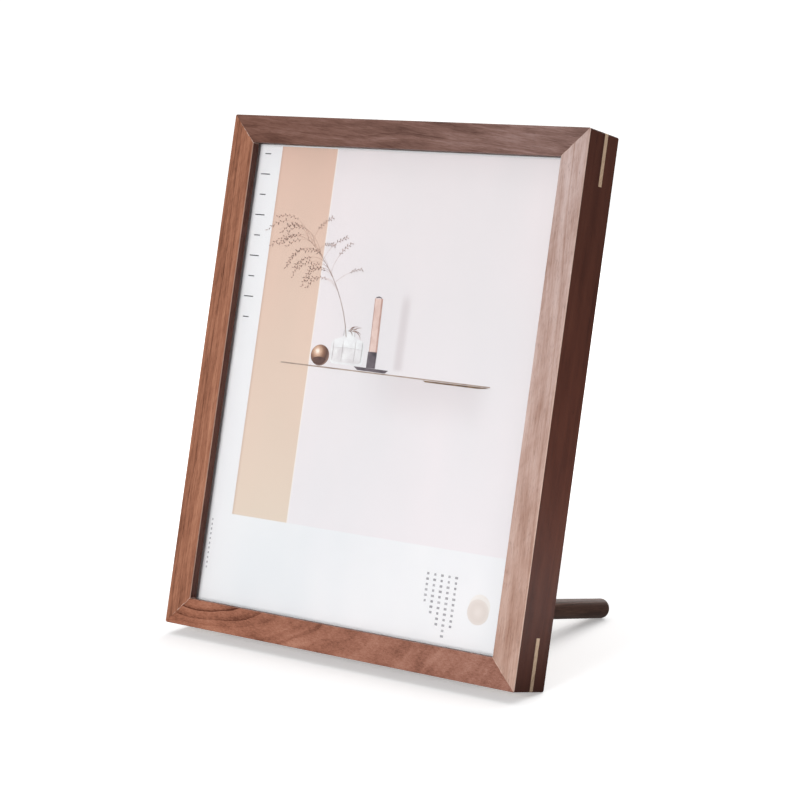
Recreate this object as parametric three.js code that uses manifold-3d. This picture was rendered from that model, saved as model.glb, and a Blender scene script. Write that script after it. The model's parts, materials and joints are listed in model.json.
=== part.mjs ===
// A table-top picture frame: four mitred walnut members with pale corner keys, a glazed print, a back panel
// held by turn buttons, and one round peg leg that pushes into the back.
// Millimetres, +Z up, +X to the viewer's right, the front faces -Y. The frame leans back towards +Y.
// The origin is on the table, under the middle of the frame and its leg.
import * as THREE from 'three';
import { mergeVertices } from 'three/addons/utils/BufferGeometryUtils.js';
import Module from 'manifold-3d';

const wasm = await Module();
wasm.setup();

// Driving dimensions of the frame, in its own upright position
const WIDTH = 228;
const HEIGHT = 280;
const DEPTH = 28;
const FACE = 15; // width of a member's front face
const LIP = 5; // thickness of the front lip, which sets the glazing back
const REBATE = 4; // how far the lip reaches over the glazing
const LEAN = 13.3; // degrees that the frame leans back
const GAP = 0.3; // clearance between neighbouring pieces

// The picture and what holds it, from the front to the back
const PRINT_WIDTH = 203; // an 8 x 10 inch print
const PRINT_HEIGHT = 254;
const SHEET_CLEARANCE = 0.5; // each side, between the pocket's walls and the sheets in it
const GLAZING_THICKNESS = 2;
const PRINT_THICKNESS = 0.3;
const CARD_THICKNESS = 2;
const PANEL_THICKNESS = 5;
const SPACER_WIDTH = 8;

// Corner keys: flat slips of wood let into a slot across each mitre
const KEY_LEG = 27; // length of a key along each of the two outer faces
const KEY_THICKNESS = 3;
const KEY_FROM_FRONT = 16; // centre of the key behind the front face

// Peg leg: it pushes into a bore in the back panel and its block
const LEG_RADIUS = 5.5; // an 11 mm dowel
const LEG_EDGE = 1.2; // chamfer round both ends
const LEG_ACROSS = 60; // from the frame's middle line
const LEG_UP = 33; // up the back, from its bottom edge to the bore's centre
const LEG_RISE = 2; // degrees that the leg rises from square to the back
const BORE_DEPTH = 15;
const BLOCK_WIDTH = 40;
const BLOCK_HEIGHT = 26;
const BLOCK_THICKNESS = 12;

// Turn buttons and their screws
const BUTTON_WIDTH = 8;
const BUTTON_REACH = 16; // from the screw to the far end
const BUTTON_THICKNESS = 1.2;
const BUTTON_HOLE_RADIUS = 1.7;
const SCREW_RADIUS = 1.3;
const SCREW_HEAD_RADIUS = 3;
const SCREW_HEAD_HEIGHT = 1.9;
const SCREW_LENGTH = 12;
const RECESS_WIDTH = 0.8;
const RECESS_SPAN = 3.4;
const RECESS_DEPTH = 1.1;
const SIDE_BUTTON_OFFSET = 65; // above and below the middle of a stile

const WALL = FACE - REBATE; // thickness of a member behind the lip
const POCKET_WIDTH = WIDTH - 2 * WALL;
const POCKET_HEIGHT = HEIGHT - 2 * WALL;
const SHEET_WIDTH = POCKET_WIDTH - 2 * SHEET_CLEARANCE;
const SHEET_HEIGHT = POCKET_HEIGHT - 2 * SHEET_CLEARANCE;
const PIVOT_INSET = WALL / 2; // from a member's outer face to its screws
const ROUND_SEGMENTS = 32;
const OVERSHOOT = 1; // how far a cutter passes the surface it cuts

const radians = THREE.MathUtils.degToRad;

// Materials

function walnut() {
  return new THREE.MeshStandardMaterial({ color: 0x6b4330, roughness: 0.55, metalness: 0 });
}

function maple() {
  return new THREE.MeshStandardMaterial({ color: 0xc2a283, roughness: 0.55, metalness: 0 });
}

function pine() {
  return new THREE.MeshStandardMaterial({ color: 0xcbb083, roughness: 0.7, metalness: 0 });
}

function clearGlass() {
  return new THREE.MeshStandardMaterial({
    color: 0xf4f8f8,
    roughness: 0.05,
    metalness: 0,
    transparent: true,
    opacity: 0.2,
  });
}

function paper() {
  return new THREE.MeshStandardMaterial({ color: 0xf1eef0, roughness: 0.85, metalness: 0 });
}

function greyCard() {
  return new THREE.MeshStandardMaterial({ color: 0x8f8b84, roughness: 0.9, metalness: 0 });
}

function brass() {
  return new THREE.MeshStandardMaterial({ color: 0xb08d4c, roughness: 0.35, metalness: 1 });
}

// Solids

// A closed manifold solid from a three.js geometry.
function toSolid(geometry) {
  const bare = geometry.clone();
  bare.deleteAttribute('normal');
  bare.deleteAttribute('uv');
  const merged = mergeVertices(bare);
  return new wasm.Manifold(
    new wasm.Mesh({
      numProp: 3,
      vertProperties: Float32Array.from(merged.attributes.position.array),
      triVerts: Uint32Array.from(merged.index.array),
    }),
  );
}

function toGeometry(solid) {
  const mesh = solid.getMesh();
  const geometry = new THREE.BufferGeometry();
  geometry.setAttribute('position', new THREE.BufferAttribute(mesh.vertProperties, 3));
  geometry.setIndex(new THREE.BufferAttribute(mesh.triVerts, 1));
  geometry.computeVertexNormals();
  return geometry;
}

function cut(geometry, cutters) {
  let solid = toSolid(geometry);
  for (const cutter of cutters) solid = solid.subtract(toSolid(cutter));
  return toGeometry(solid);
}

// A flat outline in X and Z, made solid from y = low to y = low + thickness.
function slab(outline, low, thickness) {
  const shape = new THREE.Shape(outline.map(([x, z]) => new THREE.Vector2(x, z)));
  const geometry = new THREE.ExtrudeGeometry(shape, { depth: thickness, bevelEnabled: false });
  geometry.rotateX(Math.PI / 2);
  geometry.translate(0, low + thickness, 0);
  return geometry;
}

// A rectangular sheet, its middle at x, z and its front face at y = front.
function sheet(width, height, thickness, front, x = 0, z = HEIGHT / 2) {
  const geometry = new THREE.BoxGeometry(width, thickness, height);
  geometry.translate(x, front + thickness / 2, z);
  return geometry;
}

function namedMesh(name, geometry, material) {
  const mesh = new THREE.Mesh(geometry, material);
  mesh.name = name;
  return mesh;
}

// Members

// Where a key lies in the depth of the frame
const KEY_FRONT = -DEPTH + KEY_FROM_FRONT - KEY_THICKNESS / 2;

// The slot for a key, at one end of a bar of that length: end is 1 for the right-hand end, -1 for the left.
function keySlot(length, end) {
  const corner = length / 2 + OVERSHOOT;
  const leg = KEY_LEG + GAP * Math.SQRT2 + 2 * OVERSHOOT;
  const outline = [
    [end * corner, -OVERSHOOT],
    [end * corner, leg - OVERSHOOT],
    [end * (corner - leg), -OVERSHOOT],
  ];
  return slab(outline, KEY_FRONT - GAP, KEY_THICKNESS + 2 * GAP);
}

// The pilot hole for a button's screw.
function pilotHole(along) {
  const depth = SCREW_LENGTH + OVERSHOOT;
  const hole = new THREE.CylinderGeometry(
    SCREW_RADIUS + GAP,
    SCREW_RADIUS + GAP,
    depth + OVERSHOOT,
    ROUND_SEGMENTS / 2,
  );
  hole.translate(along, (OVERSHOOT - depth) / 2, PIVOT_INSET);
  return hole;
}

// One member of the frame along X, mitred at both ends: its outer face at z = 0, its inner side towards +Z.
function mitredBar(length, screwPlaces) {
  const section = new THREE.Shape();
  section.moveTo(0, -DEPTH);
  section.lineTo(0, 0);
  section.lineTo(-WALL, 0);
  section.lineTo(-WALL, -DEPTH + LIP);
  section.lineTo(-FACE, -DEPTH + LIP);
  section.lineTo(-FACE, -DEPTH);
  section.closePath();
  const bar = new THREE.ExtrudeGeometry(section, { depth: 2, bevelEnabled: false });
  bar.translate(0, 0, -1);
  bar.rotateY(Math.PI / 2);
  const position = bar.attributes.position;
  const setback = GAP / Math.SQRT2; // along the bar, for a clearance of GAP across the mitre
  for (let i = 0; i < position.count; i++) {
    const half = length / 2 - position.getZ(i) - setback;
    position.setX(i, Math.sign(position.getX(i)) * half);
  }
  return cut(bar, [keySlot(length, 1), keySlot(length, -1), ...screwPlaces.map(pilotHole)]);
}

function addMembers(frame) {
  const places = [
    { name: 'bottom_rail', length: WIDTH, turn: 0, x: 0, z: 0, screws: [0] },
    { name: 'right_stile', length: HEIGHT, turn: -Math.PI / 2, x: WIDTH / 2, z: HEIGHT / 2 },
    { name: 'top_rail', length: WIDTH, turn: Math.PI, x: 0, z: HEIGHT, screws: [0] },
    { name: 'left_stile', length: HEIGHT, turn: Math.PI / 2, x: -WIDTH / 2, z: HEIGHT / 2 },
  ];
  for (const { name, length, turn, x, z, screws } of places) {
    const screwPlaces = screws ?? [-SIDE_BUTTON_OFFSET, SIDE_BUTTON_OFFSET];
    const bar = namedMesh(name, mitredBar(length, screwPlaces), walnut());
    bar.rotation.y = turn;
    bar.position.set(x, 0, z);
    frame.add(bar);
  }
}

// A key fills its slot from the corner and is trimmed flush with the pocket's walls inside.
function addKeys(frame) {
  for (const [vertical, z, up] of [['top', HEIGHT, -1], ['bottom', 0, 1]]) {
    for (const [side, x, inward] of [['left', -WIDTH / 2, 1], ['right', WIDTH / 2, -1]]) {
      const outline = [
        [0, 0],
        [KEY_LEG, 0],
        [KEY_LEG - WALL, WALL],
        [WALL, WALL],
        [WALL, KEY_LEG - WALL],
        [0, KEY_LEG],
      ].map(([along, rise]) => [x + inward * along, z + up * rise]);
      const key = slab(outline, KEY_FRONT, KEY_THICKNESS);
      frame.add(namedMesh(`key_${vertical}_${side}`, key, maple()));
    }
  }
}

// The picture pack and the back

// The bore for the leg, as a cutter through whatever lies in its way.
function legBore() {
  const length = BORE_DEPTH + OVERSHOOT;
  const bore = new THREE.CylinderGeometry(LEG_RADIUS + GAP, LEG_RADIUS + GAP, length, ROUND_SEGMENTS);
  bore.translate(0, length / 2 - BORE_DEPTH, 0);
  bore.rotateX(radians(LEG_RISE));
  bore.translate(LEG_ACROSS, 0, LEG_UP);
  return bore;
}

function addPicture(frame) {
  const glazingFront = -DEPTH + LIP + GAP;
  const printFront = glazingFront + GLAZING_THICKNESS + GAP;
  const cardFront = printFront + PRINT_THICKNESS + GAP;
  const spacerFront = cardFront + CARD_THICKNESS + GAP;
  const spacerDepth = -PANEL_THICKNESS - GAP - spacerFront;
  const glazing = sheet(SHEET_WIDTH, SHEET_HEIGHT, GLAZING_THICKNESS, glazingFront);
  const print = sheet(PRINT_WIDTH, PRINT_HEIGHT, PRINT_THICKNESS, printFront);
  const card = sheet(SHEET_WIDTH, SHEET_HEIGHT, CARD_THICKNESS, cardFront);
  frame.add(namedMesh('glazing', glazing, clearGlass()));
  frame.add(namedMesh('art_print', print, paper()));
  frame.add(namedMesh('backing_card', card, greyCard()));
  addSpacers(frame, spacerFront, spacerDepth);
}

// Two long strips up the sides, and two short ones between them.
function addSpacers(frame, front, depth) {
  const sideX = (SHEET_WIDTH - SPACER_WIDTH) / 2;
  const endZ = (SHEET_HEIGHT - SPACER_WIDTH) / 2;
  const shortLength = SHEET_WIDTH - 2 * SPACER_WIDTH - 2 * GAP;
  for (const [side, sign] of [['left', -1], ['right', 1]]) {
    const strip = sheet(SPACER_WIDTH, SHEET_HEIGHT, depth, front, sign * sideX);
    frame.add(namedMesh(`spacer_${side}`, strip, pine()));
  }
  for (const [side, sign] of [['bottom', -1], ['top', 1]]) {
    const strip = sheet(shortLength, SPACER_WIDTH, depth, front, 0, HEIGHT / 2 + sign * endZ);
    frame.add(namedMesh(`spacer_${side}`, strip, pine()));
  }
}

function addBack(frame) {
  const panel = sheet(SHEET_WIDTH, SHEET_HEIGHT, PANEL_THICKNESS, -PANEL_THICKNESS);
  const blockFront = -PANEL_THICKNESS - GAP - BLOCK_THICKNESS;
  const block = sheet(BLOCK_WIDTH, BLOCK_HEIGHT, BLOCK_THICKNESS, blockFront, LEG_ACROSS, LEG_UP);
  frame.add(namedMesh('back_panel', cut(panel, [legBore()]), walnut()));
  frame.add(namedMesh('leg_block', cut(block, [legBore()]), walnut()));
}

// The leg

// How far the leg reaches behind the back, so that the rim of its end stands on the table.
function legReach() {
  const droop = radians(LEAN - LEG_RISE); // from the horizontal
  const boreHeight = LEG_UP * Math.cos(radians(LEAN));
  return (boreHeight - LEG_RADIUS * Math.cos(droop)) / Math.sin(droop) + LEG_EDGE;
}

function addLeg(frame) {
  const inner = GAP - BORE_DEPTH;
  const outer = legReach();
  const profile = [
    [0, inner],
    [LEG_RADIUS - LEG_EDGE, inner],
    [LEG_RADIUS, inner + LEG_EDGE],
    [LEG_RADIUS, outer - LEG_EDGE],
    [LEG_RADIUS - LEG_EDGE, outer],
    [0, outer],
  ].map(([radius, along]) => new THREE.Vector2(radius, along));
  const leg = namedMesh('leg', new THREE.LatheGeometry(profile, ROUND_SEGMENTS), walnut());
  leg.position.set(LEG_ACROSS, 0, LEG_UP);
  leg.rotation.x = radians(LEG_RISE);
  frame.add(leg);
}

// Turn buttons

// A flat button with round ends, its screw hole at the origin, reaching towards +X and lying on y = 0.
function buttonGeometry() {
  const half = BUTTON_WIDTH / 2;
  const outline = new THREE.Shape();
  outline.absarc(0, 0, half, Math.PI / 2, (3 * Math.PI) / 2, false);
  outline.absarc(BUTTON_REACH - half, 0, half, -Math.PI / 2, Math.PI / 2, false);
  outline.closePath();
  const hole = new THREE.Path();
  hole.absarc(0, 0, BUTTON_HOLE_RADIUS, 0, 2 * Math.PI, true);
  outline.holes.push(hole);
  const settings = { depth: BUTTON_THICKNESS, bevelEnabled: false, curveSegments: ROUND_SEGMENTS / 2 };
  return new THREE.ExtrudeGeometry(outline, settings).rotateX(-Math.PI / 2);
}

// A domed wood screw with a cross recess, its head resting on y = 0 and its point towards -Y.
function screwGeometry() {
  const shank = SCREW_LENGTH;
  const profile = [
    [0, -shank],
    [SCREW_RADIUS, -shank + 3 * SCREW_RADIUS],
    [SCREW_RADIUS, 0],
    [SCREW_HEAD_RADIUS, 0],
    [SCREW_HEAD_RADIUS, 0.3 * SCREW_HEAD_HEIGHT],
    [0.85 * SCREW_HEAD_RADIUS, 0.7 * SCREW_HEAD_HEIGHT],
    [0.5 * SCREW_HEAD_RADIUS, 0.95 * SCREW_HEAD_HEIGHT],
    [0, SCREW_HEAD_HEIGHT],
  ].map(([radius, along]) => new THREE.Vector2(radius, along));
  const body = new THREE.LatheGeometry(profile, ROUND_SEGMENTS / 2);
  const slotHeight = RECESS_DEPTH + OVERSHOOT;
  const slotMiddle = SCREW_HEAD_HEIGHT - RECESS_DEPTH + slotHeight / 2;
  const slots = [[RECESS_SPAN, RECESS_WIDTH], [RECESS_WIDTH, RECESS_SPAN]].map(([x, z]) =>
    new THREE.BoxGeometry(x, slotHeight, z).translate(0, slotMiddle, 0),
  );
  return cut(body, slots);
}

function addButtons(frame) {
  const sideX = WIDTH / 2 - PIVOT_INSET;
  const middle = HEIGHT / 2;
  const places = [
    { name: 'top', x: 0, z: HEIGHT - PIVOT_INSET, turn: Math.PI / 2 },
    { name: 'bottom', x: 0, z: PIVOT_INSET, turn: -Math.PI / 2 },
    { name: 'left_upper', x: -sideX, z: middle + SIDE_BUTTON_OFFSET, turn: 0 },
    { name: 'left_lower', x: -sideX, z: middle - SIDE_BUTTON_OFFSET, turn: 0 },
    { name: 'right_upper', x: sideX, z: middle + SIDE_BUTTON_OFFSET, turn: Math.PI },
    { name: 'right_lower', x: sideX, z: middle - SIDE_BUTTON_OFFSET, turn: Math.PI },
  ];
  for (const { name, x, z, turn } of places) {
    const button = namedMesh(`turn_button_${name}`, buttonGeometry(), brass());
    button.position.set(x, GAP, z);
    button.rotation.y = turn;
    const screw = namedMesh(`screw_${name}`, screwGeometry(), brass());
    screw.position.set(x, BUTTON_THICKNESS + 2 * GAP, z);
    frame.add(button, screw);
  }
}

// The whole: built upright with its back bottom edge on the X axis, then leaned back and centred.
function pictureFrame() {
  const frame = new THREE.Group();
  addMembers(frame);
  addKeys(frame);
  addPicture(frame);
  addBack(frame);
  addLeg(frame);
  addButtons(frame);
  frame.rotation.x = -radians(LEAN);
  const whole = new THREE.Group();
  whole.add(frame);
  whole.updateMatrixWorld(true);
  const box = new THREE.Box3().setFromObject(whole, true);
  frame.position.y = -(box.min.y + box.max.y) / 2;
  return whole;
}

export default pictureFrame();
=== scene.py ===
"""The looks of a table-top picture frame: walnut members, pale corner keys, a glazed print and one peg leg.

Every piece is modelled upright: X runs across the frame, Y from its front to its back, which is at 0, and Z
up it from its bottom edge. STAND then leans the piece back onto the CAD model. Sizes are in metres, apart
from the print's drawing and the materials, which are in mm.
"""

import json
import math
import random

import bmesh
import bpy
from mathutils import Matrix, Vector


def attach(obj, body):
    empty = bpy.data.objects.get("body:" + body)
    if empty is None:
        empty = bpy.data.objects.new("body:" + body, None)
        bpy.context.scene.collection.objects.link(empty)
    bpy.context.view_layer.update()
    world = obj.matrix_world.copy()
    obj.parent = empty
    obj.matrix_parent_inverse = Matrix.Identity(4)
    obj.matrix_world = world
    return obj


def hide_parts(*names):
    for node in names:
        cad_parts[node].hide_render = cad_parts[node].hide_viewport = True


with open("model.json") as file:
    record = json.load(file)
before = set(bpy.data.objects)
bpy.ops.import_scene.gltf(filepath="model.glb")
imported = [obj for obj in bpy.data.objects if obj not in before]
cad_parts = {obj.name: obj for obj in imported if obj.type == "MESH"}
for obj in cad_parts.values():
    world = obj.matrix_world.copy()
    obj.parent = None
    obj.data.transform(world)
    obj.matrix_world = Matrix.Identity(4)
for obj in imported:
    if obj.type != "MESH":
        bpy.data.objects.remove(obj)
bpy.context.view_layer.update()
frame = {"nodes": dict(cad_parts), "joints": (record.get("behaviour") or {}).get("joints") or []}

MM = 0.001
UNMOVED = Matrix.Identity(4)


# ---------------- sizes that the CAD model doesn't give

# The members' rounded edges and corners, and the gaps round what they hold.
EASE = 0.45 * MM
CORNER_EASE = 0.9 * MM
GLUE_LINE = 0.03 * MM
KEY_CLEARANCE = 0.03 * MM
GLAZING_CLEARANCE = 0.05 * MM
SHEET_CLEARANCE = 0.5 * MM

# How far the flat pieces' corners are rounded and their edges eased.
GLAZING_CORNER = 0.4 * MM
GLAZING_EASE = 0.15 * MM
PRINT_CORNER = 0.2 * MM
CARD_CORNER = 0.3 * MM
CARD_EASE = 0.1 * MM
PANEL_CORNER = 0.5 * MM
PANEL_EASE = 0.3 * MM
BLOCK_CORNER = 0.8 * MM
BLOCK_EASE = 0.4 * MM
SPACER_CORNER = 0.4 * MM
SPACER_EASE = 0.3 * MM

# The leg's rounded rims and its bore.
LEG_RIM = 1.35 * MM
LEG_RIM_STEPS = 5
BORE_CLEARANCE = 0.12 * MM
BORE_END_GAP = 0.3 * MM

# The turn buttons and their screws.
BUTTON_PLACES = ("top", "bottom", "left_upper", "left_lower", "right_upper", "right_lower")
BUTTON_HOLE_RADIUS = 1.7 * MM
BUTTON_EASE = 0.22 * MM
SCREW_RADIUS = 1.3 * MM
SCREW_TIP_RADIUS = 0.1 * MM
SCREW_HEAD_HEIGHT = 1.9 * MM
SCREW_RIM_HEIGHT = 0.35 * MM
SCREW_DOME_STEPS = 13
SCREW_HOLE_DEPTH = 12 * MM
SCREW_HOLE_RADIUS = SCREW_RADIUS + 0.1 * MM
RECESS_SPAN = 3.4 * MM
RECESS_WIDTH = 0.8 * MM
RECESS_DEPTH = 1.1 * MM

# The print's picture, in mm from the frame's middle and bottom edge, and where its shading ends.
STRIP_LEFT = -84.0
STRIP_RIGHT = -46.0
PICTURE_FOOT = 63.5
PICTURE_RIGHT = 96.6
PICTURE_TOP = 264.6
SHADING_TOP = 262.0

# How far apart the print's layers of ink lie.
INK_STEP = 0.05 * MM

# Mesh building. STATION_STEP keeps a bar's end sections apart inside its rounded corners.
ARC_STEPS = 4
CORNER_STEPS = 4
STATION_STEP = 0.05 * MM
OVERSHOOT = 1 * MM
SAME_POINT = 1e-4 * MM
SHARP_EDGE = math.radians(40)
SHARP_SHADING = math.radians(35)


# ---------------- the frame's own directions and sizes

ACROSS = Vector((1, 0, 0))
BACKWARD = Vector(next(j for j in frame["joints"] if j["type"] == "hinge")["axis"]).normalized()
UPWARD = ACROSS.cross(BACKWARD)
LEANED = Matrix((ACROSS, BACKWARD, UPWARD)).transposed()


def leaned_box(*nodes):
    """Lowest and highest corner of CAD nodes along ACROSS, BACKWARD and UPWARD, from the model's origin."""
    points = [LEANED.transposed() @ v.co for n in nodes for v in frame["nodes"][n].data.vertices]
    return (
        Vector(min(p[i] for p in points) for i in range(3)),
        Vector(max(p[i] for p in points) for i in range(3)),
    )


MEMBERS = ("bottom_rail", "right_stile", "top_rail", "left_stile")
OUTER_LOW, OUTER_HIGH = leaned_box(*MEMBERS)
FOOT = Vector((0, OUTER_HIGH.y, OUTER_LOW.z))
STAND = Matrix.Translation(LEANED @ FOOT) @ LEANED.to_4x4()
WIDTH, DEPTH, HEIGHT = OUTER_HIGH - OUTER_LOW


def upright_box(*nodes):
    """Lowest and highest corner of CAD nodes in the upright frame."""
    low, high = leaned_box(*nodes)
    return low - FOOT, high - FOOT


STILE_LOW, STILE_HIGH = upright_box("left_stile")
GLAZING_LOW, GLAZING_HIGH = upright_box("glazing")
PRINT_LOW, PRINT_HIGH = upright_box("art_print")
PANEL_LOW, PANEL_HIGH = upright_box("back_panel")
BLOCK_LOW, BLOCK_HIGH = upright_box("leg_block")
KEY_LOW, KEY_HIGH = upright_box("key_bottom_right")

FACE = STILE_HIGH.x - STILE_LOW.x
FRONT = -DEPTH
WALL = (WIDTH - (PANEL_HIGH.x - PANEL_LOW.x)) / 2 - SHEET_CLEARANCE
LIP_BACK = GLAZING_LOW.y - GLAZING_CLEARANCE
KEY_LEG = KEY_HIGH.z - KEY_LOW.z
FRONT_MM = FRONT / MM
HALF_WIDTH_MM = WIDTH / MM / 2
HALF_HEIGHT_MM = HEIGHT / MM / 2


# ---------------- the stage's light and view

# The table glows by one strength near the frame and another far from it.
TABLE_RADIUS = 600.0
NEAR_TABLE = 0.08
NEAR_GLOW = 0.37
FAR_TABLE = 0.4
FAR_GLOW = 0.7
ROOM_LIGHT = 0.25
OVERHEAD_POWER = 1.15
OVERHEAD_SPREAD = math.radians(80)
OVERHEAD_FROM = (0.02, 0.3, 1.2)
MIDDLE = (0, 0, HEIGHT / 2)
SOFT_BOXES = (
    # name, place, target, size in metres, watts
    ("key", (-0.05, -1.95, 0.5), MIDDLE, 1.0, 33.0),
    ("rear", (-0.3, 1.6, 1.1), MIDDLE, 1.2, 18.0),
    ("bounce", (0.32, -0.02, 0.002), (0.32, -0.02, 1.0), 0.3, 0.85),
)

# The camera looks at a point a little behind the frame's foot, just under the frame's middle.
CAMERA_AZIMUTH = math.radians(36.363)
CAMERA_ELEVATION = math.radians(9.558)
CAMERA_DISTANCE = 1.2585
CAMERA_LENS = 107.09
CAMERA_SENSOR = 36
AIM_BEHIND_FOOT = 33.9 * MM
AIM_HEIGHT = 132 * MM


# ---------------- mesh building


def rounded_outline(corners, steps=ARC_STEPS):
    """A closed outline from (x, y, radius) corners, each round one as an arc."""
    outline = []
    count = len(corners)
    for i, (x, y, radius) in enumerate(corners):
        here = Vector((x, y))
        if radius == 0:
            outline.append(here)
            continue
        before = (Vector(corners[i - 1][:2]) - here).normalized()
        after = (Vector(corners[(i + 1) % count][:2]) - here).normalized()
        half = before.angle(after) / 2
        centre = here + (before + after).normalized() * (radius / math.sin(half))
        start = here + before * (radius / math.tan(half)) - centre
        end = here + after * (radius / math.tan(half)) - centre
        turn = start.angle_signed(end)
        for step in range(steps + 1):
            outline.append(centre + Matrix.Rotation(-turn * step / steps, 2) @ start)
    return [point for i, point in enumerate(outline) if (point - outline[i - 1]).length > SAME_POINT]


def lofted(rings):
    """A closed bmesh through rings of points, capped at both ends."""
    bm = bmesh.new()
    loops = [[bm.verts.new(p) for p in ring] for ring in rings]
    count = len(loops[0])
    for near, far in zip(loops, loops[1:]):
        for i in range(count):
            j = (i + 1) % count
            bm.faces.new((near[i], near[j], far[j], far[i]))
    bm.faces.new(reversed(loops[0]))
    bm.faces.new(loops[-1])
    bmesh.ops.recalc_face_normals(bm, faces=bm.faces)
    return bm


def prism(outline, front, back):
    """An outline in X and Z made solid from y = front to y = back."""
    return lofted([[Vector((p[0], y, p[1])) for p in outline] for y in (front, back)])


def board(low, high, radius=0.0):
    """A box from one corner to the other, its four edges along Y rounded."""
    corners = [(low.x, low.z), (high.x, low.z), (high.x, high.z), (low.x, high.z)]
    return prism(rounded_outline([(*corner, radius) for corner in corners]), low.y, high.y)


def merged(parts):
    """Several bmeshes as one."""
    whole = bmesh.new()
    for part in parts:
        mesh = to_mesh(part, "part")
        whole.from_mesh(mesh)
        bpy.data.meshes.remove(mesh)
    return whole


def ease_edges(bm, width, segments=2):
    """Rounds every edge that turns more sharply than SHARP_EDGE."""
    edges = [e for e in bm.edges if len(e.link_faces) == 2 and e.calc_face_angle() > SHARP_EDGE]
    bmesh.ops.bevel(
        bm, geom=edges, offset=width, segments=segments, profile=0.5, affect="EDGES", clamp_overlap=True
    )
    return bm


def turned(profile, segments=48):
    """A solid turned round Y from (radius, y) points that start and end off the axis, with flat ends."""
    rings = []
    for radius, along in profile:
        angles = [2 * math.pi * k / segments for k in range(segments)]
        rings.append([Vector((radius * math.cos(a), along, radius * math.sin(a))) for a in angles])
    return lofted(rings)


def cylinder_y(radius, start, end, segments=48):
    return turned([(radius, start), (radius, end)], segments)


def to_mesh(bm, name):
    mesh = bpy.data.meshes.new(name)
    bm.to_mesh(mesh)
    bm.free()
    return mesh


def cut(bm, cutters):
    """The solid with each cutter taken away."""
    scene = bpy.context.scene.collection
    target = bpy.data.objects.new("cut_target", to_mesh(bm, "cut_target"))
    scene.objects.link(target)
    tools = []
    for i, cutter in enumerate(cutters):
        tool = bpy.data.objects.new(f"cut_tool_{i}", to_mesh(cutter, f"cut_tool_{i}"))
        scene.objects.link(tool)
        tools.append(tool)
        modifier = target.modifiers.new(f"cut_{i}", "BOOLEAN")
        modifier.operation = "DIFFERENCE"
        modifier.solver = "EXACT"
        modifier.object = tool
    graph = bpy.context.evaluated_depsgraph_get()
    result = bmesh.new()
    result.from_mesh(target.evaluated_get(graph).to_mesh())
    if not result.faces:
        raise ValueError("a cut left nothing of its solid")
    for spare in [target, *tools]:
        mesh = spare.data
        bpy.data.objects.remove(spare)
        bpy.data.meshes.remove(mesh)
    return result


def record_grain(mesh, grain):
    """Keeps where each vertex is now, in mm along the piece's own grain, for its material to read."""
    attribute = mesh.attributes.new("grain", "FLOAT_VECTOR", "POINT")
    attribute.data.foreach_set("vector", [c / MM for v in mesh.vertices for c in grain @ v.co])


def piece(name, bm, material, body, place=UNMOVED, grain=UNMOVED, stands_for=()):
    """Makes a finished piece: its grain is recorded, then it is put in its place on the leaning frame."""
    mesh = to_mesh(bm, name)
    record_grain(mesh, grain)
    mesh.transform(STAND @ place)
    mesh.shade_smooth()
    mesh.set_sharp_from_angle(angle=SHARP_SHADING)
    mesh.materials.append(material)
    made = bpy.data.objects.new(name, mesh)
    bpy.context.scene.collection.objects.link(made)
    flatten = made.modifiers.new("flat_faces", "WEIGHTED_NORMAL")
    flatten.keep_sharp = True
    if stands_for:
        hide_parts(*stands_for)
    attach(made, body)


# ---------------- materials


def srgb(red, green, blue):
    """A display colour of 0 to 255 as a linear one with alpha."""
    def linear(value):
        value /= 255
        return value / 12.92 if value <= 0.04045 else ((value + 0.055) / 1.055) ** 2.4
    return (linear(red), linear(green), linear(blue), 1.0)


WHITE = (1.0, 1.0, 1.0, 1.0)
# The pale of the mitres' glue lines, and also the colour of the painted highlight on the front arrises.
PALE_JOINT_AND_HIGHLIGHT = srgb(226, 196, 180)

# Behind its front face a member's colour is multiplied by this. It holds some of the photo's shade.
SIDE_TINT = (0.5, 0.42, 0.38, 1.0)


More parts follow.
